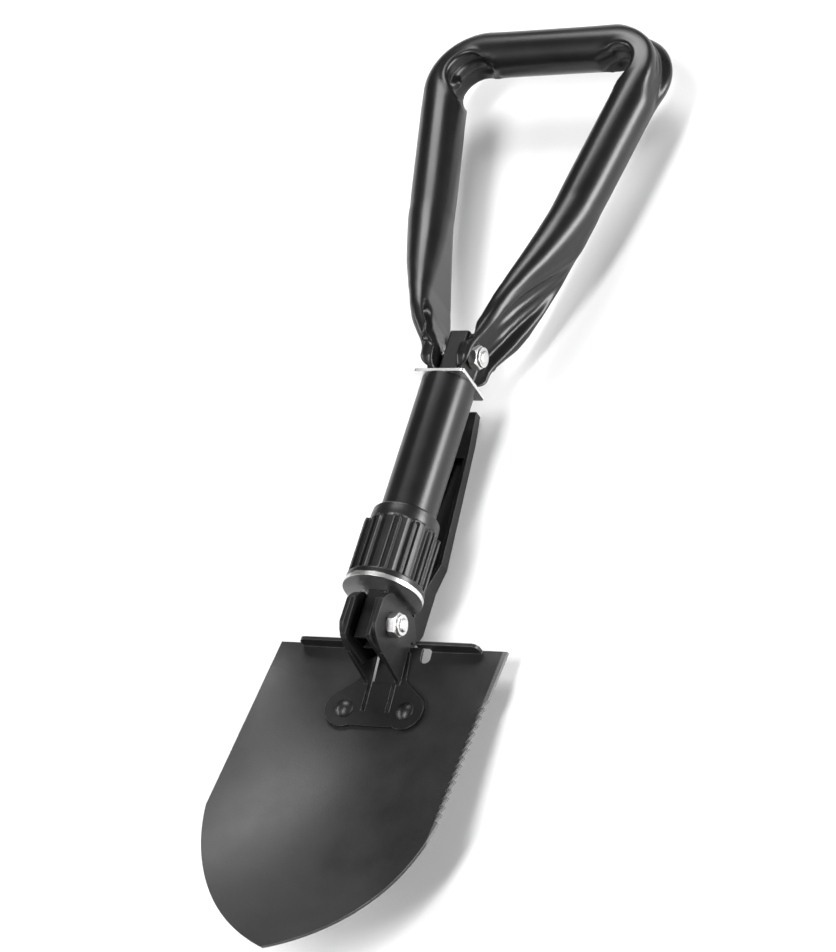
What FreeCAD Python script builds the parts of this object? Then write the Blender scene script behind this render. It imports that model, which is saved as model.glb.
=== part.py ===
import FreeCAD, Part
import math
import os

# Folding camp shovel, lying on the back of its pick, millimetres.
# X across (serrated edge and nuts on +X), Y along the shaft towards the grip, Z up (dished side of the blade).
# The design origin is the axis of the head bolt; place() moves the finished pieces onto the floor.

# ---- driving dimensions ----
SHEET = 1.8                 # folded steel of socket and pick
CLEAR = 0.1                 # side play between flat sheets
BOLT_R = 3.0                # M6
HOLE_R = 3.05
NUT_AF = 10.0
SQ_HALF = 5.0               # square tube, half width
SQ_WALL = 1.2
SQ_LOW = -9.3
SQ_ABOVE_BOLT = 11.3
SPAN = 136.7                # head bolt to handle bolt
TUBE_R = 12.35
TUBE_WALL = 1.2
HEAD_FLAT = 12.0            # flat locking edge to head bolt
HEAD_FRONT = 12.2
LOBE_R = 13.5               # rounded locking corners
RING_GAP = 0.4
RING_R = 17.85
RING_T = 2.0
COLLAR_LEN = 37.0
COLLAR_BODY_R = 15.8
COLLAR_FLANGE_R = 17.5
COLLAR_RIB_R = 17.2
COLLAR_RIBS = 11
RIB_TURN = 18.0             # first rib, from the top towards +X, degrees
PLATE_W = 25.4
PLATE_D = 24.0
PLATE_T = 1.5
BLADE_W = 111.8
BLADE_LEN = 152.8
BLADE_T = 1.6
BLADE_SIDE = 87.5           # straight side before the point
BLADE_TOP_Z = -19.6
BLADE_RAKE = 0.178          # rise of the rim per length
DISH = 12.0                 # depth of the dish
TEETH = 15
TEETH_TOP = 25.5
TOOTH_H = 3.2
STEP_IN = 15.0              # foot step, nearest the socket
STEP_OUT = 44.0
STEP_H = 6.0
RIVET_X = 15.1
RIVET_Y = -30.1
RIVET_R = 2.5
SLOT_END = -30.8            # clearance slits for the pick
PICK_BACK = -30.0           # flat of the spine
PICK_LEN = 123.4
PICK_HALF = 8.9
PICK_DEPTH = 6.0
GRIP_Y = 311.3
GRIP_HALF = 56.2
GRIP_R = 10.9
GRIP_WALL = 1.3
GRIP_BEND = 19.0
LEDGE = 0.25                # small step where the round tube meets the flattened leg
END_HALF_X = 3.6            # flattened leg ends
END_HALF_Z = 11.8

# ---- derived ----
PICK_IN = SQ_HALF + CLEAR
PICK_OUT = PICK_IN + SHEET
EAR_IN = PICK_OUT + CLEAR
EAR_OUT = EAR_IN + SHEET + 0.1
RING_LOW = LOBE_R + RING_GAP
COLLAR_LOW = RING_LOW + RING_T
COLLAR_TOP = COLLAR_LOW + COLLAR_LEN
PLATE_TOP = SPAN - LOBE_R - 0.1
TUBE_TOP = PLATE_TOP - PLATE_T
TUBE_LOW = COLLAR_LOW + 8.0
HALF_W = BLADE_W / 2
JOIN = SPAN + 0.46564 * (GRIP_Y - SPAN)     # the round tube starts to flatten here
LEG_SLOPE = 34.92 / (GRIP_Y - SPAN)
LIFT = -PICK_BACK
BACK = (BLADE_LEN - GRIP_Y - GRIP_R) / 2

os.makedirs("parts", exist_ok=True)
V = FreeCAD.Vector


def place(shape):
    moved = shape.copy()
    moved.translate(V(0, BACK, LIFT))
    return moved


def save(name, shape):
    shape = shape.removeSplitter()
    place(shape).exportStep("parts/" + name + ".step")
    print(name, len(shape.Solids), shape.isValid(), round(shape.Volume, 1))


def box(x0, x1, y0, y1, z0, z1):
    return Part.makeBox(x1 - x0, y1 - y0, z1 - z0, V(x0, y0, z0))


def rod_x(r, x0, x1, y, z=0.0):
    return Part.makeCylinder(r, x1 - x0, V(x0, y, z), V(1, 0, 0))


def rod_y(r, y0, y1):
    return Part.makeCylinder(r, y1 - y0, V(0, y0, 0), V(0, 1, 0))


def side_plate(points, x0, x1):
    """Flat plate across X with an outline given as (y, z)."""
    loop = [V(x0, y, z) for y, z in points]
    face = Part.Face(Part.makePolygon(loop + [loop[0]]))
    return face.extrude(V(x1 - x0, 0, 0))


def mirror_x(shape):
    return shape.mirror(V(0, 0, 0), V(1, 0, 0))


def both(shape):
    return shape.fuse(mirror_x(shape))


def square_bar(half, y0, y1, corner):
    bar = box(-half, half, y0, y1, -half, half)
    if corner <= 0:
        return bar
    edges = [e for e in bar.Edges if abs(e.tangentAt(e.FirstParameter).y) > 0.9]
    return bar.makeFillet(corner, edges)


# ---- shaft ----
def square_tube():
    low = SQ_LOW
    high = SPAN + SQ_ABOVE_BOLT
    tube = square_bar(SQ_HALF, low, high, 1.2)
    tube = tube.cut(square_bar(SQ_HALF - SQ_WALL, low - 1, high + 1, 0.4))
    for y in (0.0, SPAN):
        tube = tube.cut(rod_x(HOLE_R, -10, 10, y))
    return tube


def shaft_tube():
    return rod_y(TUBE_R, TUBE_LOW, TUBE_TOP).cut(rod_y(TUBE_R - TUBE_WALL, TUBE_LOW - 1, TUBE_TOP + 1))


def lock_plate():
    plate = box(-PLATE_W / 2, PLATE_W / 2, TUBE_TOP, PLATE_TOP, -PLATE_D / 2, PLATE_D / 2)
    edges = [e for e in plate.Edges if abs(e.tangentAt(e.FirstParameter).y) > 0.9]
    plate = plate.makeFillet(1.5, edges)
    return plate.cut(square_bar(SQ_HALF, TUBE_TOP - 1, PLATE_TOP + 1, 1.2))


def thrust_ring():
    ring = rod_y(RING_R, RING_LOW, COLLAR_LOW)
    return ring.cut(square_bar(SQ_HALF + 0.2, RING_LOW - 1, COLLAR_LOW + 1, 1.0))


def collar():
    body = rod_y(COLLAR_BODY_R, COLLAR_LOW, COLLAR_TOP)
    body = body.fuse(rod_y(COLLAR_FLANGE_R, COLLAR_LOW, COLLAR_LOW + 4.5))
    rib_low = COLLAR_LOW + 4.0
    rib_high = COLLAR_TOP - 7.0
    for i in range(COLLAR_RIBS):
        rib = box(-1.9, 1.9, rib_low, rib_high, COLLAR_BODY_R - 1, COLLAR_RIB_R)
        rib = rib.common(rod_y(COLLAR_RIB_R, rib_low - 1, rib_high + 1))
        rib.rotate(V(0, 0, 0), V(0, 1, 0), RIB_TURN + 360.0 * i / COLLAR_RIBS)
        body = body.fuse(rib)
    return body.cut(rod_y(TUBE_R + 0.3, COLLAR_LOW + 3.0, COLLAR_TOP + 1)).cut(
        rod_y(SQ_HALF * 1.414 + 0.6, COLLAR_LOW - 1, COLLAR_TOP))


# ---- blade ----
def pan_height(x, y):
    """Height of the dished face: a raked rim plane less a dish that fades out at every edge."""
    s = min(max(-y / BLADE_LEN, 0.0), 1.0)
    deep = DISH * math.sin(math.pi * (1.0 - (1.0 - s) ** 1.35))
    return BLADE_TOP_Z - BLADE_RAKE * y - deep * (1.0 - (x / HALF_W) ** 2)


def pan_face():
    rows = []
    for i in range(18):
        y = -(BLADE_LEN + 3.0) * i / 17
        rows.append([V(x, y, pan_height(x, y)) for x in [HALF_W * 1.08 * (j - 7) / 7 for j in range(15)]])
    surface = Part.BSplineSurface()
    surface.interpolate(rows)
    return surface.toShape()


def blade_outline():
    """Spade point, straight left side, hooked teeth on the right side."""
    tip = V(0, -BLADE_LEN, -60)
    left = V(-HALF_W, -BLADE_SIDE, -60)
    right = V(HALF_W, -BLADE_SIDE, -60)
    mid = BLADE_SIDE + 0.54 * (BLADE_LEN - BLADE_SIDE)
    edges = [Part.Arc(left, V(-0.739 * HALF_W, -mid, -60), tip).toShape()]
    edges.append(Part.Arc(tip, V(0.739 * HALF_W, -mid, -60), right).toShape())
    pitch = (BLADE_SIDE - TEETH_TOP) / TEETH
    points = [right]
    for i in range(TEETH):
        y = -BLADE_SIDE + pitch * i
        root = V(HALF_W - TOOTH_H, y + 0.8 * pitch, -60)
        if i == 0:
            points.append(V(HALF_W - 0.6 * TOOTH_H, y + 0.2 * pitch, -60))
        points.append(V(HALF_W, y + 1.02 * pitch, -60))
        if i < TEETH - 1:
            points.append(root)
    points.append(V(HALF_W, -TEETH_TOP + 1.0, -60))
    points.append(V(HALF_W, 0, -60))
    points.append(V(-HALF_W, 0, -60))
    points.append(left)
    for a, b in zip(points, points[1:]):
        edges.append(Part.makeLine(a, b))
    return Part.Face(Part.Wire(edges)).extrude(V(0, 0, 120))


def pick_slits():
    """The two walls of the pick pass through these when it swings back."""
    return both(box(PICK_IN - 0.15, EAR_IN + 0.05, SLOT_END, 5, -60, 40))


def relief():
    """Rounded notch at the inner end of a foot step."""
    x = STEP_IN + 2.4
    notch = Part.makeCylinder(2.4, 60, V(x, -4.6, -50), V(0, 0, 1))
    return notch.fuse(box(x - 2.4, x + 2.4, -4.6, 5, -50, 10))


def rivet_bores():
    bore = Part.makeCylinder(RIVET_R, 40, V(RIVET_X, RIVET_Y, -45), V(0, 0, 1))
    return both(bore)


def foot_step():
    inner = STEP_IN + 5.0
    step = side_plate([(0, BLADE_TOP_Z - 1.0), (0, BLADE_TOP_Z + STEP_H),
                       (-BLADE_T, BLADE_TOP_Z + STEP_H), (-BLADE_T, BLADE_TOP_Z - 1.0)], inner, STEP_OUT)
    outer = [e for e in step.Edges if e.BoundBox.XMin > STEP_OUT - 0.01 and e.BoundBox.ZMin > BLADE_TOP_Z + STEP_H - 0.01]
    step = step.makeFillet(3.0, outer)
    nose = box(STEP_IN - 0.5, inner, -BLADE_T, 0, BLADE_TOP_Z + 2.2, BLADE_TOP_Z + STEP_H)
    return step.fuse(nose)


def blade():
    pan = pan_face().extrude(V(0, 0, -BLADE_T)).common(blade_outline())
    pan = pan.cut(pick_slits())
    pan = pan.cut(both(relief())).fuse(both(foot_step()))
    return pan.cut(rivet_bores())


def under_pan():
    """Everything from the dished face downwards, used to seat what lies on it."""
    return pan_face().extrude(V(0, 0, -40))


def seat_outline():
    """Dog-bone foot: a lobe round each rivet, straight lower edge between them."""
    lobe = Part.makeCylinder(8.8, 80, V(RIVET_X, RIVET_Y, -60), V(0, 0, 1))
    web = box(0, RIVET_X, RIVET_Y - 7.6, RIVET_Y + 7.0, -60, 20)
    neck_face = Part.Face(Part.makePolygon([V(0, -3.0, -60), V(EAR_OUT + 1.5, -3.0, -60),
                                            V(EAR_OUT + 2.5, -16, -60), V(RIVET_X + 6.0, RIVET_Y + 6.4, -60),
                                            V(0, RIVET_Y + 6.4, -60), V(0, -3.0, -60)]))
    neck = neck_face.extrude(V(0, 0, 80))
    window = box(-EAR_IN - 0.05, EAR_IN + 0.05, -17.0, 5, -60, 40)
    return both(lobe.fuse(web).fuse(neck)).cut(pick_slits()).cut(window)


def socket_ear():
    ear = side_plate([(HEAD_FLAT, -15.5), (HEAD_FLAT, HEAD_FRONT), (-9.0, HEAD_FRONT), (-13.4, 2.0),
                      (-17.0, -19.0), (-24.0, -27.0), (-3.0, -27.0), (2.0, -22.5), (8.5, -19.5)],
                     EAR_IN, EAR_OUT)
    corner = box(EAR_IN - 1, EAR_OUT + 1, -30, 30, 0, 30).cut(rod_x(LOBE_R, EAR_IN - 2, EAR_OUT + 2, 0))
    return ear.cut(corner)


def blade_socket():
    foot = pan_face()
    foot.translate(V(0, 0, 1.5))
    foot = foot.extrude(V(0, 0, -1.5)).common(seat_outline())
    ears = both(socket_ear()).cut(under_pan())
    body = foot.fuse(ears).cut(rivet_bores())
    body = body.cut(box(-30, 30, 0, 2.5, -30, -19.0))
    return body.cut(rod_x(BOLT_R, -20, 20, 0))


def blade_rivets(pan, socket):
    group = []
    for side in (-1, 1):
        x = side * RIVET_X
        z = pan_height(x, RIVET_Y)
        head = Part.makeSphere(6.0, V(x, RIVET_Y, z + 1.5 - 4.0))
        head = head.common(Part.makeCylinder(4.4, 12, V(x, RIVET_Y, z + 0.5), V(0, 0, 1)))
        shank = Part.makeCylinder(RIVET_R, 4.6, V(x, RIVET_Y, z - BLADE_T - 1.0), V(0, 0, 1))
        tail = Part.makeCylinder(3.9, 1.9, V(x, RIVET_Y, z - BLADE_T - 1.2), V(0, 0, 1))
        rivet = head.fuse(shank).fuse(tail).cut(pan).cut(socket)
        group.append(max(rivet.Solids, key=lambda s: s.Volume))
    return Part.makeCompound(group)


# ---- pick ----
def channel_section(y, half, depth, wall, inner):
    """U section of the pick at one station; the inner one is the hollow."""
    w = half - wall if inner else half
    low = PICK_BACK + wall if inner else PICK_BACK - 1.0
    high = PICK_BACK + depth + (1.0 if inner else 0.0)
    lift = 0.12 * max(0.0, y - 100.0)
    loop = [V(-w, y, low + lift), V(w, y, low + lift), V(w, y, high + lift), V(-w, y, high + lift)]
    return Part.makePolygon(loop + [loop[0]])


def pick():
    stations = [(25.6, PICK_OUT, 10.4), (32.0, PICK_OUT, 8.0), (44.0, PICK_HALF, PICK_DEPTH),
                (100.0, 4.6, 4.6), (PICK_LEN, 2.9, 3.2)]
    outer = Part.makeLoft([channel_section(y, h, d, SHEET, False) for y, h, d in stations], True, True)
    inner = Part.makeLoft([channel_section(y, h, d, SHEET, True) for y, h, d in stations[:-1]], True, True)
    spine = outer.cut(inner).cut(box(-20, 20, 0, PICK_LEN + 5, PICK_BACK - 5, PICK_BACK))
    wall = side_plate([(HEAD_FLAT, -18.6), (HEAD_FLAT, HEAD_FRONT), (-11.0, HEAD_FRONT - 1.0), (-12.4, 8.5),
                       (-14.3, -9.3), (0.0, -24.0), (11.0, PICK_BACK), (27.0, PICK_BACK),
                       (27.0, PICK_BACK + 9.8), (19.0, -18.6)], PICK_IN, PICK_OUT)
    corner = box(PICK_IN - 1, PICK_OUT + 1, 0, 30, 0, 30).cut(rod_x(LOBE_R, PICK_IN - 2, PICK_OUT + 2, 0))
    wall = wall.cut(corner)
    body = spine.fuse(both(wall))
    return body.cut(rod_x(HOLE_R, -20, 20, 0))


# ---- fasteners ----
def hex_prism(af, x0, x1, y):
    r = af / math.sqrt(3.0)
    loop = [V(x0, y + r * math.cos(math.pi * (i + 0.5) / 3), r * math.sin(math.pi * (i + 0.5) / 3)) for i in range(6)]
    prism = Part.Face(Part.makePolygon(loop + [loop[0]])).extrude(V(x1 - x0, 0, 0))
    rim = Part.makeCone(r * 0.86, r * 1.1, 1.4, V(x0, y, 0), V(1, 0, 0))
    rim = rim.fuse(Part.makeCylinder(r * 1.1, x1 - x0 - 2.8, V(x0 + 1.4, y, 0), V(1, 0, 0)))
    rim = rim.fuse(Part.makeCone(r * 1.1, r * 0.86, 1.4, V(x1 - 1.4, y, 0), V(1, 0, 0)))
    return prism.common(rim)


def lock_nut(seat, y):
    """Nut with a round crown that holds a nylon ring."""
    nut = hex_prism(NUT_AF, seat, seat + 4.1, y)
    nut = nut.fuse(rod_x(4.55, seat + 3.6, seat + 5.5, y))
    nut = nut.cut(rod_x(BOLT_R, seat - 1, seat + 9, y))
    return nut.cut(rod_x(3.9, seat + 4.2, seat + 5.1, y))


def nut_insert(seat, y):
    return rod_x(3.9, seat + 4.2, seat + 5.1, y).cut(rod_x(BOLT_R, seat, seat + 9, y))


def bolt(head_seat, nut_seat, y):
    """Pan-head bolt; the head sits on -X."""
    shank = rod_x(BOLT_R, -head_seat - 1, nut_seat + 5.9, y)
    tip = Part.makeCone(BOLT_R, BOLT_R - 0.6, 0.6, V(nut_seat + 5.9, y, 0), V(1, 0, 0))
    head = rod_x(5.3, -head_seat - 2.0, -head_seat, y)
    dome = Part.makeSphere(7.0, V(-head_seat + 2.2, y, 0)).common(rod_x(5.3, -head_seat - 6, -head_seat - 1.9, y))
    return shank.fuse(tip).fuse(head).fuse(dome)


# ---- handle ----
def leg_section(y, cx, a, b, soft):
    """Flattened-round section across the leg at one height; soft is corner radius over the smaller half size."""
    c = soft * min(a, b)
    k = c * (1.0 - math.sqrt(0.5))
    edges = []
    for sx, sz in ((1, 1), (-1, 1), (-1, -1), (1, -1)):
        side = V(cx + sx * a, y, sz * (b - c))
        end = V(cx + sx * (a - c), y, sz * b)
        mid = V(cx + sx * (a - k), y, sz * (b - k))
        first, last = (side, end) if sx == sz else (end, side)
        edges.append(Part.Arc(first, mid, last).toShape())
        if sx == sz:
            edges.append(Part.makeLine(last, V(cx - sx * (a - c), y, sz * b)))
        else:
            edges.append(Part.makeLine(last, V(cx + sx * a, y, -sz * (b - c))))
    return Part.Wire(edges)


def blend(p, q, r, s, t):
    """Smooth curve from q to r, steered by its neighbours."""
    bend = 2 * p - 5 * q + 4 * r - s
    swing = -p + 3 * q - 3 * r + s
    return 0.5 * (2 * q + (r - p) * t + bend * t * t + swing * t ** 3)


def leg_stations():
    """(height, centre X, half X, half Z, corner softness) down one leg, with smooth steps between the key ones."""
    keys = leg_keys()
    padded = [keys[0]] + keys + [keys[-1]]
    steps = []
    for i in range(len(keys) - 1):
        for t in (0.0, 0.5):
            steps.append(tuple(blend(*[padded[i + k][n] for k in range(4)], t) for n in range(5)))
    return steps + [keys[-1]]


def leg_keys():
    """Key sections down one leg, from the round tube to its flattened end."""
    top = GRIP_HALF - (GRIP_Y - JOIN) * LEG_SLOPE
    flat = JOIN - SPAN
    end = EAR_OUT - 0.1
    wide = END_HALF_X
    return [(JOIN, top, GRIP_R * 1.02 + LEDGE, GRIP_R + LEDGE, 0.985),
            (SPAN + 0.791 * flat, 0.896 * top, 10.0, 11.8, 0.97),
            (SPAN + 0.582 * flat, 0.77 * top, 8.3, 13.6, 0.95),
            (SPAN + 0.385 * flat, 0.635 * top, 5.9, 15.3, 0.92),
            (SPAN + 0.25 * flat, 0.535 * top, wide + 0.9, 15.9, 0.88),
            (SPAN + 0.157 * flat, 0.455 * top, wide + 0.3, 15.0, 0.84),
            (SPAN + 6.0, 0.345 * top, wide + 0.2, 13.4, 0.8),
            (SPAN, end + 0.7, wide + 0.1, 12.2, 0.76),
            (SPAN - 5.0, end, wide, END_HALF_Z, 0.74),
            (SPAN - 11.7, end, wide, END_HALF_Z, 0.74)]


def grip_path():
    run = math.sqrt(1 + LEG_SLOPE ** 2)
    ux = LEG_SLOPE / run
    uy = 1.0 / run
    turn = math.pi / 2 + math.atan(LEG_SLOPE)
    reach = GRIP_BEND * math.tan(turn / 2)
    low = JOIN - 2.0
    corner = V(GRIP_HALF, GRIP_Y, 0)
    start = V(GRIP_HALF - (GRIP_Y - low) * LEG_SLOPE, low, 0)
    before = V(corner.x - ux * reach, corner.y - uy * reach, 0)
    after = V(corner.x - reach, corner.y, 0)
    centre = V(after.x, GRIP_Y - GRIP_BEND, 0)
    to_corner = (corner - centre).normalize()
    mid = centre + to_corner * GRIP_BEND
    flip = lambda p: V(-p.x, p.y, 0)
    edges = [Part.makeLine(start, before), Part.Arc(before, mid, after).toShape(), Part.makeLine(after, flip(after)),
             Part.Arc(flip(after), flip(mid), flip(before)).toShape(), Part.makeLine(flip(before), flip(start))]
    return Part.Wire(edges), start, V(ux, uy, 0)


def grip_pipe(r):
    path, start, way = grip_path()
    ring = Part.Wire([Part.Circle(start, way, r).toShape()])
    return path.makePipeShell([ring], True, False)


def handle_frame():
    stations = leg_stations()
    upper = box(-90, 90, JOIN, GRIP_Y + 40, -30, 30)
    outer = grip_pipe(GRIP_R).common(upper)
    hollow = grip_pipe(GRIP_R - GRIP_WALL).common(upper)
    frame = outer.cut(hollow)
    leg = Part.makeLoft([leg_section(*s) for s in stations], True, True)
    thin = [(y, cx, a - GRIP_WALL, b - GRIP_WALL, p) for y, cx, a, b, p in stations]
    thin[0] = (JOIN + 1.0, thin[0][1] + LEG_SLOPE, thin[0][2] - 2 * LEDGE, thin[0][3] - 2 * LEDGE, 0.985)
    thin[-1] = (thin[-1][0] - 1.0,) + thin[-1][1:]
    core = Part.makeLoft([leg_section(*s) for s in thin], True, True)
    shell = leg.cut(core)
    mouth = core.copy()
    mouth.translate(V(-3.4, 0, 0))
    shell = shell.cut(mouth.common(box(0, 90, 100, 156.5, -40, 40)))
    boss = rod_x(8.2, PICK_IN + 0.05, EAR_OUT + 3.6, SPAN)
    shell = shell.fuse(boss)
    shell = shell.cut(rod_x(6.9, 7.9, 40, SPAN))
    sweep = box(0, EAR_OUT + 4.1, 100, 160, -40, 40).cut(rod_x(LOBE_R - 0.1, -1, 30, SPAN))
    below = box(0, 60, 90, SPAN, -40, 40).cut(rod_x(LOBE_R - 0.1, -1, 90, SPAN))
    shell = shell.cut(sweep).cut(below)
    shell = shell.cut(box(-10, PICK_IN + 0.05, 90, 170, -40, 40))
    shell = shell.cut(rod_x(BOLT_R, -1, 40, SPAN))
    return frame.fuse(both(shell))


def build():
    save("square_tube", square_tube())
    save("shaft_tube", shaft_tube())
    save("lock_plate", lock_plate())
    save("thrust_ring", thrust_ring())
    save("collar", collar())
    pan = blade()
    socket = blade_socket()
    save("blade", pan)
    save("blade_socket", socket)
    save("blade_rivets", blade_rivets(pan, socket))
    save("pick", pick())
    save("head_bolt", bolt(EAR_OUT, EAR_OUT, 0))
    save("head_nut", lock_nut(EAR_OUT, 0))
    save("head_nut_insert", nut_insert(EAR_OUT, 0))
    save("handle_frame", handle_frame())
    save("handle_bolt", bolt(7.9, 7.9, SPAN))
    save("handle_nut", lock_nut(7.9, SPAN))
    save("handle_nut_insert", nut_insert(7.9, SPAN))


build()
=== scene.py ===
import bpy
import bmesh
import math
from mathutils import Matrix, Vector


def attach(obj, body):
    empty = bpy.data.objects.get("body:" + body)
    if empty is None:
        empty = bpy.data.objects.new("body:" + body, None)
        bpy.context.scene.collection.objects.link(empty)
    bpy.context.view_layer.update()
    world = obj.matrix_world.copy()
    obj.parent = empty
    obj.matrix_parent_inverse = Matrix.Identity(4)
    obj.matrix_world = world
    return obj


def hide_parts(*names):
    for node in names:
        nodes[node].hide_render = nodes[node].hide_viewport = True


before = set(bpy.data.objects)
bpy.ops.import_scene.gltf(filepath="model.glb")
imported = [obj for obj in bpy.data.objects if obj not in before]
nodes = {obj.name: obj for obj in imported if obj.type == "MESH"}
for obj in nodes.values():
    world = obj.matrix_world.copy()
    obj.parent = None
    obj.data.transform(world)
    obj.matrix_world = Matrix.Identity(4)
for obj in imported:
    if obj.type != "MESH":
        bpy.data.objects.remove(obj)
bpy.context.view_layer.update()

# ---- sizes, millimetres, from the head bolt's axis: X across, Y towards the grip, Z to the front ----
BLADE_LEN = 152.8
SPAN = 136.7  # head bolt to grip bolt

# grip: a round tube whose two legs are pressed flat towards the bolt
GRIP_Y = 311.3
GRIP_HALF = 56.2
GRIP_R = 10.9
GRIP_BEND = 19.0
LEG_SLOPE = 0.2
JOIN = 218.0  # height where the round tube ends and the pressed leg starts
LEG_TOP = GRIP_HALF - (GRIP_Y - JOIN) * LEG_SLOPE
LEG_STEP = 1.2
TUBE_STEPS = 36
BEND_STEPS = 40
BAR_STEPS = 12
AROUND = 96

# lower end of a leg, rounded about the bolt
END_R = 13.35
END_STEPS = 14
LEG_CLEAR = 5.25  # a leg stays this far from the middle, clear of the square tube
PLATE_CLEAR = 13.05  # and this far beyond END_R, clear of the lock plate that it passes as it folds
VALLEY = 5.2  # depth of the pressed valley that holds the nut
OPEN_Y = 153.5  # below this height the inner wall follows the pressed outer wall
OPEN_FADE = 3.5
WALLS = 2.7  # both walls pressed together

# crushed inner side of each top corner, and the pinch on the outer side of the bend
DENT_DEPTH = 8.0
DENT_MIDDLE = -2.5
DENT_HALF = 25.0
DENT_LIP = 1.30
PINCH = 5.2
PINCH_LEFT = 0.2  # share of the pinch that the left corner has

# collar
COLLAR_LOW = 15.9
COLLAR_LEN = 37.0
COLLAR_AROUND = 660
FINE_STEP = 0.3
PLAIN_STEP = 0.9
BORE_R = 12.65
THROAT_R = 7.7
THROAT_H = 3.0
FLANGE_R = 17.5
FLANGE_H = 3.4
BODY_R = 15.8
NECK_R = 15.3
RIB_R = 17.2
RIB_HALF = 1.9
RIB_GROOVE = 1.15
RIB_STOP = 7.0  # the ribs end this far below the top
RIBS = 11
RIB_TURN = 18.0

# the row frame has the object's middle at Y 0 and the floor at Z 0
LIFT = 30.0
BACK = (BLADE_LEN - GRIP_Y - GRIP_R) / 2

# camera, metres, in the row frame
CAMERA_AT = Vector((0.6371, -0.6111, 1.0038))
CAMERA_RIGHT = Vector((0.87325, 0.26796, -0.40697))
CAMERA_UP = Vector((-0.01256, 0.84732, 0.53094))
LENS = 113.3


def at(x, y, z):
    return Vector((x, y + BACK, z + LIFT)) / 1000.0


def step(a, b, x):
    """Smooth rise from 0 at a to 1 at b; a may be the larger."""
    t = min(max((x - a) / (b - a), 0.0), 1.0)
    return t * t * (3.0 - 2.0 * t)


def bell(x, middle, width):
    return math.exp(-((x - middle) / width) ** 2)


# ---- materials ----
def grey(v, warm=1.0):
    return (v * warm, v, v / warm, 1.0)


def add(tree, kind, **values):
    """New shader node, with its inputs or its own settings given by name."""
    node = tree.nodes.new(kind)
    for key, value in values.items():
        if key in node.inputs:
            node.inputs[key].default_value = value
        else:
            setattr(node, key, value)
    return node


def link(tree, a, out, b, into):
    tree.links.new(a.outputs[out], b.inputs[into])


def ramp(tree, source, out, low, high, first, last):
    """Turns low..high of a node's output into first..last."""
    node = add(tree, "ShaderNodeMapRange")
    node.inputs["From Min"].default_value = low
    node.inputs["From Max"].default_value = high
    node.inputs["To Min"].default_value = first
    node.inputs["To Max"].default_value = last
    link(tree, source, out, node, "Value")
    return node


def blend(tree, factor, out, colour):
    """Mix towards a colour; its input A is still to be filled."""
    node = add(tree, "ShaderNodeMix", data_type="RGBA")
    node.inputs["B"].default_value = colour
    link(tree, factor, out, node, "Factor")
    return node


def times(tree, a, b):
    """Product of two mapped values."""
    node = add(tree, "ShaderNodeMath", operation="MULTIPLY")
    link(tree, a, "Result", node, 0)
    link(tree, b, "Result", node, 1)
    return node


def coated(name, dark, light, edge_sheen_and_wear, rough, grain, bump, round_r, sheen_and_wear_amount, metal=0.0, shine=0.5):
    """Coated or plated surface: mottled colour, uneven gloss, fine texture, and edges painted brighter in
    cloudy patches, partly as a painted highlight and partly as rubbed wear.
    """
    m = bpy.data.materials.new(name)
    m.use_nodes = True
    tree = m.node_tree
    shader = tree.nodes["Principled BSDF"]
    coords = add(tree, "ShaderNodeTexCoord")
    cloud = add(tree, "ShaderNodeTexNoise", Scale=38.0, Detail=5.0, Roughness=0.6)
    fine = add(tree, "ShaderNodeTexNoise", Scale=grain, Detail=3.0, Roughness=0.55)
    for noise in (cloud, fine):
        link(tree, coords, "Object", noise, "Vector")
    mottle = blend(tree, ramp(tree, cloud, "Fac", 0.35, 0.7, 0.0, 1.0), "Result", light)
    mottle.inputs["A"].default_value = dark

    # Edge mask from the bevelled normal: edges are painted a paler colour, partly a painted highlight along
    # the edges and partly rubbed wear.
    soft = add(tree, "ShaderNodeBevel", samples=4)
    soft.inputs["Radius"].default_value = round_r
    sharp = add(tree, "ShaderNodeNewGeometry")
    facing = add(tree, "ShaderNodeVectorMath", operation="DOT_PRODUCT")
    link(tree, soft, "Normal", facing, 0)
    link(tree, sharp, "Normal", facing, 1)
    edge_sheen_and_wear_mask = ramp(tree, facing, "Value", 0.999, 0.86, 0.0, 1.0)
    patch = ramp(tree, cloud, "Fac", 0.42, 0.62, 0.35, 1.0)
    amount = add(tree, "ShaderNodeMath", operation="MULTIPLY")
    link(tree, times(tree, edge_sheen_and_wear_mask, patch), 0, amount, 0)
    amount.inputs[1].default_value = sheen_and_wear_amount
    top = blend(tree, amount, 0, edge_sheen_and_wear)
    link(tree, mottle, "Result", top, "A")
    link(tree, top, "Result", shader, "Base Color")

    gloss = ramp(tree, cloud, "Fac", 0.3, 0.75, *rough)
    link(tree, gloss, "Result", shader, "Roughness")
    relief = add(tree, "ShaderNodeBump")
    relief.inputs["Strength"].default_value = bump
    relief.inputs["Distance"].default_value = 0.0002
    link(tree, fine, "Fac", relief, "Height")
    link(tree, soft, "Normal", relief, "Normal")
    link(tree, relief, "Normal", shader, "Normal")
    shader.inputs["Metallic"].default_value = metal
    shader.inputs["Specular IOR Level"].default_value = shine
    return m


def ground_edge(m):
    """The toothed side of the blade is ground after coating: a paler band with fine lines across it."""
    tree = m.node_tree
    shader = tree.nodes["Principled BSDF"]
    coat = shader.inputs["Base Color"].links[0].from_node
    coords = add(tree, "ShaderNodeTexCoord")
    split = add(tree, "ShaderNodeSeparateXYZ")
    link(tree, coords, "Object", split, "Vector")
    band = ramp(tree, split, "X", 0.0534, 0.0541, 0.0, 0.75)
    lines = add(tree, "ShaderNodeTexWave", Scale=420.0, Distortion=1.5, bands_direction="Y")
    link(tree, coords, "Object", lines, "Vector")
    uneven = ramp(tree, lines, "Fac", 0.0, 1.0, 0.35, 1.0)
    ground = blend(tree, times(tree, band, uneven), 0, grey(0.16))
    link(tree, coat, "Result", ground, "A")
    link(tree, ground, "Result", shader, "Base Color")


# The edge colours and amounts below are painted edge highlight mixed with rubbed wear.
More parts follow.
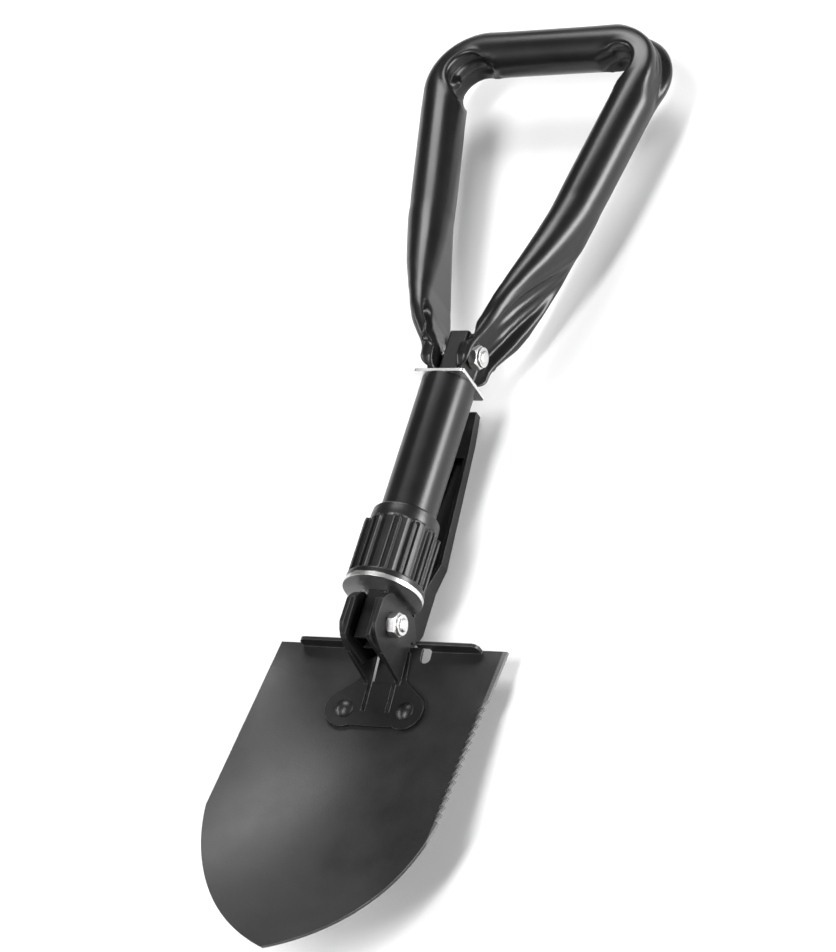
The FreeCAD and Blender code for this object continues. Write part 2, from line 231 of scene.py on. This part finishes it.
black = coated("satin_black", grey(0.005), grey(0.010), edge_sheen_and_wear=grey(0.09), rough=(0.30, 0.40),
               grain=900.0, bump=0.08, round_r=0.0005, sheen_and_wear_amount=0.5, shine=0.36)
grip_black = coated("grip_black", grey(0.004), grey(0.007), edge_sheen_and_wear=grey(0.06), rough=(0.27, 0.34),
                    grain=900.0, bump=0.04, round_r=0.0006, sheen_and_wear_amount=0.3, shine=0.40)
pan_black = coated("pan_black", grey(0.008), grey(0.013), edge_sheen_and_wear=grey(0.35), rough=(0.37, 0.46),
                   grain=1100.0, bump=0.14, round_r=0.0004, sheen_and_wear_amount=0.7, shine=0.42)
ground_edge(pan_black)
nylon = coated("moulded_nylon", grey(0.004), grey(0.008), edge_sheen_and_wear=grey(0.04), rough=(0.26, 0.36),
               grain=500.0, bump=0.04, round_r=0.0004, sheen_and_wear_amount=0.2, shine=0.42)
zinc = coated("zinc_plate", grey(0.66, 1.01), grey(0.80, 1.01), edge_sheen_and_wear=grey(0.9), rough=(0.24, 0.38),
              grain=700.0, bump=0.04, round_r=0.0003, sheen_and_wear_amount=0.3, metal=1.0)
insert = coated("lock_insert", grey(0.55), grey(0.66), edge_sheen_and_wear=grey(0.7), rough=(0.4, 0.55),
                grain=800.0, bump=0.08, round_r=0.0003, sheen_and_wear_amount=0.2)


def dress(m, names):
    """Gives CAD nodes a better material."""
    for name in names:
        for k in range(len(nodes[name].material_slots)):
            nodes[name].material_slots[k].material = m


dress(black, ("square_tube", "blade_socket", "blade_rivets", "pick"))
dress(grip_black, ("shaft_tube",))
dress(pan_black, ("blade",))
dress(zinc, ("lock_plate", "thrust_ring", "head_bolt", "head_nut", "handle_bolt", "handle_nut"))
dress(insert, ("head_nut_insert", "handle_nut_insert"))


# ---- meshes ----
def mesh_object(name, points, faces, m, body):
    mesh = bpy.data.meshes.new(name)
    mesh.from_pydata([at(*p) for p in points], [], faces)
    mesh.materials.append(m)
    bm = bmesh.new()
    bm.from_mesh(mesh)
    bmesh.ops.remove_doubles(bm, verts=bm.verts, dist=1e-7)
    bmesh.ops.recalc_face_normals(bm, faces=bm.faces)
    bm.to_mesh(mesh)
    bm.free()
    for f in mesh.polygons:
        f.use_smooth = True
    o = bpy.data.objects.new(name, mesh)
    bpy.context.scene.collection.objects.link(o)
    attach(o, body)
    return o


def skin(rings, closed_ends):
    """Points and faces of a tube through rings of equal count."""
    n = len(rings[0])
    points = [p for ring in rings for p in ring]
    faces = []
    for r in range(len(rings) - 1):
        for i in range(n):
            j = (i + 1) % n
            faces.append((r * n + i, r * n + j, (r + 1) * n + j, (r + 1) * n + i))
    if closed_ends:
        faces.append(tuple(range(n)))
        faces.append(tuple(range((len(rings) - 1) * n, len(rings) * n)))
    return points, faces


# ---- grip frame ----
# Sections of one leg, from the round tube downwards: height, middle in X, half thickness in X,
# half depth in Z, and corner radius as a share of the smaller half.
LEG_SECTIONS = (
    (JOIN, LEG_TOP, GRIP_R, GRIP_R, 0.985),
    (201.0, 0.896 * LEG_TOP, 10.0, 11.8, 0.97),
    (184.0, 0.77 * LEG_TOP, 8.3, 13.6, 0.95),
    (168.0, 0.635 * LEG_TOP, 5.9, 15.3, 0.92),
    (157.0, 0.535 * LEG_TOP, 4.5, 15.9, 0.88),
    (149.5, 0.455 * LEG_TOP, 3.9, 15.0, 0.84),
    (SPAN + 6.0, 0.345 * LEG_TOP, 3.8, 13.4, 0.8),
    (SPAN, 9.5, 3.7, 12.6, 0.76),
    (SPAN - 5.0, 8.9, 3.6, 12.0, 0.74),
    (SPAN - 14.0, 8.8, 3.6, 12.0, 0.74),
)

# Creases in the valley: height, width, Z at the top, how far Z wanders on the way down, and the
# pairs of heights between which it wanders, begins and ends.
CREASES = (
    (1.6, 1.5, -8.5, 9.5, (198, 150), (202, 184), (146, 158)),
    (1.2, 1.1, -8.0, 4.0, (176, 146), (182, 166), (141, 152)),
)


def leg_at(y):
    """Section of a leg at one height, on a smooth curve through LEG_SECTIONS."""
    last = len(LEG_SECTIONS) - 1
    for k in range(last):
        q = LEG_SECTIONS[k]
        r = LEG_SECTIONS[k + 1]
        if q[0] >= y >= r[0]:
            t = (q[0] - y) / (q[0] - r[0])
            p = LEG_SECTIONS[max(k - 1, 0)]
            s = LEG_SECTIONS[min(k + 2, last)]
            out = []
            for n in range(1, 5):
                bend = 2 * p[n] - 5 * q[n] + 4 * r[n] - s[n]
                swing = -p[n] + 3 * q[n] - 3 * r[n] + s[n]
                out.append(0.5 * (2 * q[n] + (r[n] - p[n]) * t + bend * t * t + swing * t ** 3))
            return out
    return LEG_SECTIONS[last][1:]


def rounded(a, b, c):
    """Rounded rectangle of half sizes a, b and corner c, evenly sampled, starting on the +X side."""
    quarter = math.pi * c / 2
    centres = ((a - c, b - c), (c - a, b - c), (c - a, c - b), (a - c, c - b))
    ways = ((0, 1), (-1, 0), (0, -1), (1, 0), (0, 1))
    lines = (b - c, 2 * (a - c), 2 * (b - c), 2 * (a - c), b - c)
    total = 4 * (a - c) + 4 * (b - c) + 2 * math.pi * c
    out = []
    for i in range(AROUND):
        s = total * i / AROUND
        x = a
        z = 0.0
        for k in range(5):
            go = min(s, lines[k])
            x += ways[k][0] * go
            z += ways[k][1] * go
            if k == 4 or s <= lines[k]:
                break
            s -= lines[k]
            angle = k * math.pi / 2 + min(s / quarter, 1.0) * math.pi / 2
            x = centres[k][0] + c * math.cos(angle)
            z = centres[k][1] + c * math.sin(angle)
            if s <= quarter:
                break
            s -= quarter
        out.append((x, z))
    return out


def creased(y, z):
    """Height of the creases at one point of the valley."""
    fold = 0.0
    for high, wide, z_top, wander, way, start, end in CREASES:
        middle = z_top + wander * step(*way, y)
        fold += high * bell(z, middle, wide) * step(*start, y) * step(*end, y)
    return fold


def leg_ring(y, side):
    """Pressed leg: a valley in the outer wall holds the nut; near the end the inner wall lies against it."""
    cx, a, b, soft = leg_at(y)
    if y < SPAN:
        b = min(b, math.sqrt(max(END_R ** 2 - (y - SPAN) ** 2, 0.09)))
    c = soft * min(a, b)
    depth = VALLEY * step(206, 150, y)
    front = -11.0 + 20.0 * step(212, 152, y)
    back = -9.5 + 1.5 * step(170, 150, y)
    out = []
    for dx, z in rounded(a, b, c):
        rim = b - abs(z)
        over = max(abs(z) - (b - c), 0.0)
        valley = depth * step(front + 1.8, front - 2.8, z) * step(back - 2.4, back + 1.8, z)
        pressed = cx + a - c + math.sqrt(max(c * c - over * over, 0.0)) - valley
        if dx > 0:
            ridge = 0.7 * bell(z, front + 2.4, 1.8) * step(212, 192, y) * step(0.0, 3.0, rim)
            x = pressed + creased(y, z) * valley / VALLEY + ridge
        else:
            cut = OPEN_Y + 0.22 * z
            opened = step(cut + OPEN_FADE, cut - OPEN_FADE, y) * step(0.4, 4.0, rim)
            x = cx + dx
            x += max(pressed - WALLS - x, 0.0) * opened
        away = step(END_R - 3.2, END_R - 0.1, math.hypot(y - SPAN, z)) if y > SPAN else 0.0
        x = max(x, LEG_CLEAR + (PLATE_CLEAR - LEG_CLEAR) * away)
        out.append((side * x, y, z))
    return out


def tube_push(phi, bend, side):
    """How far the tube's wall is pushed out at one angle, phi 0 on the outer side of the bend."""
    along = (bend - DENT_MIDDLE) / DENT_HALF
    lip = DENT_LIP * math.sqrt(max(1.0 - along ** 2, 0.0))
    inner = abs(phi - math.pi)
    crush = step(lip + 0.03, lip - 0.24, inner) if lip > 0.15 else 0.0
    depth = DENT_DEPTH * max(1.0 - along ** 4, 0.0)
    push = -depth * crush * (0.72 + 0.28 * math.cos(min(inner, 1.4)))
    push += 0.5 * bell(inner, lip + 0.15, 0.12) * step(1.0, 0.8, abs(along))
    push += 2.6 * bell(bend, -9.0, 3.2) * bell(inner, 0.0, 0.62) * crush

    outer = (phi + math.pi) % (2 * math.pi) - math.pi
    run = step(-31.0, -6.0, bend) * step(18.0, 3.0, bend) * (1.0 if side > 0 else PINCH_LEFT)
    push -= PINCH * run * step(-0.46, -0.16, outer) * step(1.15, 0.30, outer)
    push += 1.5 * run * bell(outer, -0.75, 0.28)
    push += 0.8 * run * bell(outer, -0.02, 0.10)
    return push


def tube_ring(p, out, side, bend):
    """Ring of the round tube; bend is the distance from the middle of the corner, below zero down the leg."""
    near = bell(bend, 0.0, 17.0)
    a = GRIP_R * (1.0 + 0.11 * near)
    b = GRIP_R * (1.0 - 0.02 * near)
    ring = []
    for i in range(AROUND):
        phi = 2 * math.pi * i / AROUND
        push = tube_push(phi, bend, side)
        x = (a + push) * math.cos(phi)
        z = (b + 0.9 * push) * math.sin(phi)
        ring.append((side * (p[0] + out[0] * x), p[1] + out[1] * x, z))
    return ring


def grip_rings(side):
    """From the lower end of one leg up to the middle of the top bar."""
    rings = []
    for i in range(END_STEPS):
        rings.append(leg_ring(SPAN - END_R * math.cos(math.pi / 2 * i / END_STEPS), side))
    for i in range(int((JOIN - SPAN) / LEG_STEP)):
        rings.append(leg_ring(SPAN + i * LEG_STEP, side))

    lean = math.atan(LEG_SLOPE)
    turn = math.pi / 2 + lean
    reach = GRIP_BEND * math.tan(turn / 2)
    run = math.hypot(1, LEG_SLOPE)
    before = (GRIP_HALF - LEG_SLOPE / run * reach, GRIP_Y - reach / run)
    length = math.hypot(before[0] - LEG_TOP, before[1] - JOIN)
    half_arc = GRIP_BEND * turn / 2
    for i in range(TUBE_STEPS):
        t = i / TUBE_STEPS
        out = Vector((1.0, -LEG_SLOPE * step(0.0, 0.25, t))).normalized()
        p = (LEG_TOP + (before[0] - LEG_TOP) * t, JOIN + (before[1] - JOIN) * t)
        rings.append(tube_ring(p, out, side, -(half_arc + length * (1 - t))))

    centre = (GRIP_HALF - reach, GRIP_Y - GRIP_BEND)
    for i in range(BEND_STEPS + 1):
        angle = -lean + turn * i / BEND_STEPS
        out = (math.cos(angle), math.sin(angle))
        p = (centre[0] + GRIP_BEND * out[0], centre[1] + GRIP_BEND * out[1])
        rings.append(tube_ring(p, out, side, half_arc * (2 * i / BEND_STEPS - 1)))
    for i in range(1, BAR_STEPS):
        x = centre[0] * (1 - i / BAR_STEPS)
        rings.append(tube_ring((x, GRIP_Y), (0.0, 1.0), side, half_arc + centre[0] - x))
    return rings


def grip_frame():
    right = grip_rings(1)
    left = grip_rings(-1)
    beyond = 60.0  # far enough from both corners to be plain round
    middle = tube_ring((0.0, GRIP_Y), (0.0, 1.0), 1, beyond)
    points, faces = skin(right + [middle] + left[::-1], closed_ends=True)
    o = mesh_object("grip_frame", points, faces, grip_black, "grip_unit")
    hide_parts("handle_frame")


grip_frame()


# ---- collar ----
def collar_radius(turn, up):
    """Outline at one angle from the top and one height: hollowed panels between grooved ribs."""
    pitch = 2 * math.pi / RIBS
    turned = turn - math.radians(RIB_TURN)
    off = abs((turned + pitch / 2) % pitch - pitch / 2) * BODY_R
    half = pitch * BODY_R / 2
    panel = BODY_R - 0.35 + 0.5 * (1.0 - (half - off) / (half - RIB_HALF)) ** 2
    rib_top = COLLAR_LEN - RIB_STOP
    crown = rib_top - up
    if crown < 0:
        width = 0.0
    elif crown < RIB_HALF:
        width = math.sqrt(RIB_HALF ** 2 - (RIB_HALF - crown) ** 2)
    else:
        width = RIB_HALF
    rib = step(width + 0.28, width - 0.28, off) if width > 0.3 else 0.0
    groove = RIB_GROOVE * step(0.95, 0.45, off) * step(1.2, 2.2, crown)
    r = panel + (RIB_R - panel) * rib - groove * rib
    if up < FLANGE_H:
        r = max(r, FLANGE_R - 1.9 * step(2.6, FLANGE_H, up) - 0.5 * step(0.5, 0.0, up))
    taper = 0.25 * step(COLLAR_LEN - 5.0, COLLAR_LEN, up)
    round_over = 1.1 * step(COLLAR_LEN - 1.3, COLLAR_LEN, up) ** 2
    neck = NECK_R - taper - round_over
    return r + (neck - r) * step(rib_top - 0.6, rib_top + 0.6, up)


def collar_heights():
    """Close together over the flange and from the ribs' ends up, wider apart between."""
    heights = []
    up = 0.0
    while up < COLLAR_LEN - 0.001:
        heights.append(up)
        plain = 4.5 <= up <= COLLAR_LEN - 11.0
        up += PLAIN_STEP if plain else FINE_STEP
    heights.append(COLLAR_LEN)
    return heights


def collar_ring(up, radius):
    """Ring about the shaft; radius is a function of the angle from the top."""
    ring = []
    for i in range(COLLAR_AROUND):
        turn = 2 * math.pi * i / COLLAR_AROUND
        r = radius(turn)
        ring.append((r * math.sin(turn), COLLAR_LOW + up, r * math.cos(turn)))
    return ring


def collar_detail():
    rings = []
    bore = ((COLLAR_LEN, BORE_R), (THROAT_H, BORE_R), (THROAT_H, THROAT_R), (0.0, THROAT_R))
    for up, r in bore:
        rings.append(collar_ring(up, lambda turn: r))
    for up in collar_heights():
        rings.append(collar_ring(up, lambda turn: collar_radius(turn, up)))
    rings.append(rings[0])
    points, faces = skin(rings, closed_ends=False)
    o = mesh_object("collar_shell", points, faces, nylon, "collar_nut")
    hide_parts("collar")


collar_detail()


# ---- floor, light, camera ----
def floor():
    half = 6.0
    corners = [(-half, -half, 0), (half, -half, 0), (half, half, 0), (-half, half, 0)]
    mesh = bpy.data.meshes.new("floor")
    mesh.from_pydata(corners, [], [(0, 1, 2, 3)])
    m = bpy.data.materials.new("pale_floor")
    m.use_nodes = True
    shader = m.node_tree.nodes["Principled BSDF"]
    shader.inputs["Base Color"].default_value = grey(0.80)
    shader.inputs["Roughness"].default_value = 0.8
    mesh.materials.append(m)
    o = bpy.data.objects.new("floor", mesh)
    bpy.context.scene.collection.objects.link(o)


def softbox(name, where, aim, width, height, power):
    data = bpy.data.lights.new(name, "AREA")
    data.shape = "RECTANGLE"
    data.size = width
    data.size_y = height
    data.energy = power
    o = bpy.data.objects.new(name, data)
    o.location = where
    o.rotation_euler = (Vector(aim) - Vector(where)).to_track_quat("-Z", "Y").to_euler()
    bpy.context.scene.collection.objects.link(o)


def studio():
    world = bpy.data.worlds.new("studio")
    bpy.context.scene.world = world
    world.use_nodes = True
    background = world.node_tree.nodes["Background"]
    background.inputs["Color"].default_value = (0.97, 0.98, 1.0, 1)
    background.inputs["Strength"].default_value = 0.10
    bpy.context.scene.view_settings.view_transform = "Standard"
    softbox("over", (-0.25, -0.75, 1.9), (0, 0.05, 0.03), width=0.32, height=1.4, power=33)
    softbox("right_strip", (1.5, 0.1, 0.28), (0, 0.1, 0.06), width=1.8, height=0.5, power=62)
    softbox("left", (-1.5, -0.35, 0.72), (0, 0.05, 0.03), width=1.4, height=0.35, power=15)
    softbox("behind", (-0.35, 1.6, 1.5), (0, 0.0, 0.03), width=1.1, height=0.8, power=32)


def camera():
    data = bpy.data.cameras.new("camera")
    data.sensor_width = 36.0
    data.lens = LENS
    data.clip_end = 20.0
    o = bpy.data.objects.new("camera", data)
    bpy.context.scene.collection.objects.link(o)
    axes = (CAMERA_RIGHT, CAMERA_UP, CAMERA_RIGHT.cross(CAMERA_UP))
    o.matrix_world = Matrix.Translation(CAMERA_AT) @ Matrix(axes).transposed().to_4x4()
    bpy.context.scene.camera = o


floor()
studio()
camera()
